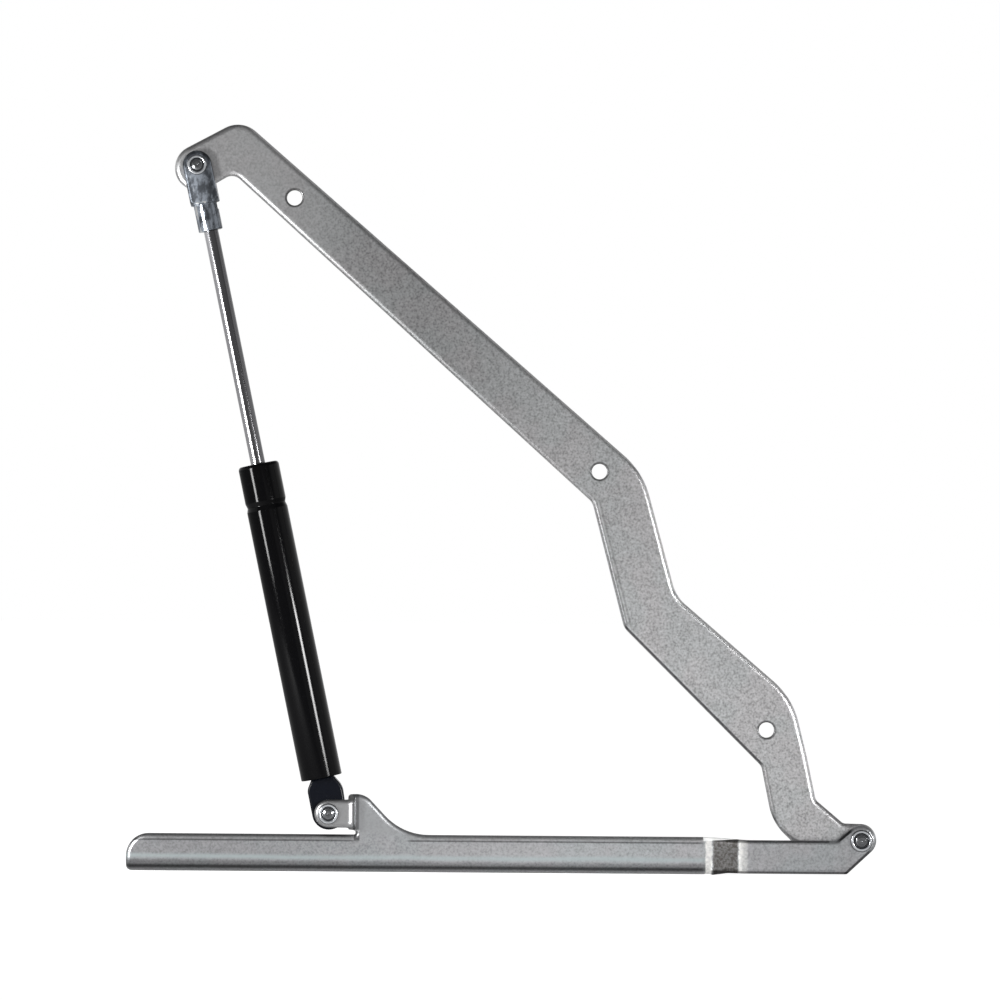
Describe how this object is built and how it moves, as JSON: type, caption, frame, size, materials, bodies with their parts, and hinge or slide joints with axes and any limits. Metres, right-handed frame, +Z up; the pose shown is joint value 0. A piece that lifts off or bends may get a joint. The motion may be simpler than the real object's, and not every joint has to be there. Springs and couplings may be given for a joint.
{
  "type": "gas spring lift hinge",
  "caption": "Cranked plate arm that turns on a screwed-down base bracket and is pushed open by a gas spring, for a storage bed or box lid.",
  "frame": {"origin": "middle of the flange's screw line, on the underside of the flange that lies on the furniture", "axes": "+X along the bracket towards the main pivot, +Y away from the viewer across the flange, +Z up out of the furniture"},
  "size_m": [0.4126, 0.0368, 0.4107],
  "materials": {
    "bracket_zinc": "zinc-plated stamped sheet, faintly speckled, with bright worn edges",
    "arm_zinc": "matte zinc-plated plate with fine speckle and rolled bright edges",
    "rivet_steel": "coined and plated rivet head, bright on its rim",
    "washer_steel": "plain plated washer",
    "slip_washer_nylon": "natural nylon",
    "bush_bronze": "sintered bronze, dull",
    "tube_black": "gloss black lacquer",
    "eye_black": "satin black lacquer",
    "rod_chrome": "hard chrome, ground round the rod",
    "fork_zinc": "blue zinc plate, smooth with softened edges",
    "inner_steel": "turned steel, oiled",
    "guide_brass": "turned brass",
    "seal_rubber": "nitrile rubber, matte",
    "piston_alloy": "die-cast aluminium",
    "ring_plastic": "filled sliding plastic"
  },
  "bodies": {
    "base": {"base_bracket": "bracket_zinc", "pivot_rivet": "rivet_steel", "pivot_spacer": "washer_steel", "pivot_back_washer": "washer_steel", "ear_rivet": "rivet_steel", "ear_front_washer": "slip_washer_nylon", "ear_back_washer": "washer_steel"},
    "arm": {"lift_arm": "arm_zinc", "pivot_bush": "bush_bronze", "tip_bush": "bush_bronze", "tip_pin_core": "rivet_steel"},
    "cylinder": {"cylinder_tube": "tube_black", "end_plug": "inner_steel", "lower_eye": "eye_black", "eye_bush": "bush_bronze", "rod_guide": "guide_brass", "guide_ring": "seal_rubber", "rod_seal": "seal_rubber", "seal_support": "inner_steel", "spacer_sleeve": "inner_steel"},
    "rod": {"piston_rod": "rod_chrome", "rebound_washer": "inner_steel", "piston": "piston_alloy", "piston_ring": "ring_plastic", "piston_nut": "inner_steel", "fork_head": "fork_zinc", "tip_pin_front": "rivet_steel", "tip_pin_back": "rivet_steel"}
  },
  "joints": [
    {"name": "arm_hinge", "type": "hinge", "parent": "base", "child": "arm", "pos_m": [0.2425, -0.0134, 0.0198], "axis": [0, -1, 0], "range_deg": [0, 35]},
    {"name": "cylinder_hinge", "type": "hinge", "parent": "base", "child": "cylinder", "pos_m": [-0.05, -0.0134, 0.0326], "axis": [0, -1, 0], "range_deg": [0, 58.52]},
    {"name": "rod_slide", "type": "slide", "parent": "cylinder", "child": "rod", "axis": [-0.2057, 0, 0.9786], "range_m": [-0.13018, 0], "stiffness_N_per_m": 600, "springref_m": 0.5}
  ],
  "couplings": [
    {"joint": "cylinder_hinge", "follows": "arm_hinge", "ratio": 1.672},
    {"joint": "rod_slide", "follows": "arm_hinge", "m_per_rad": -0.21309}
  ]
}
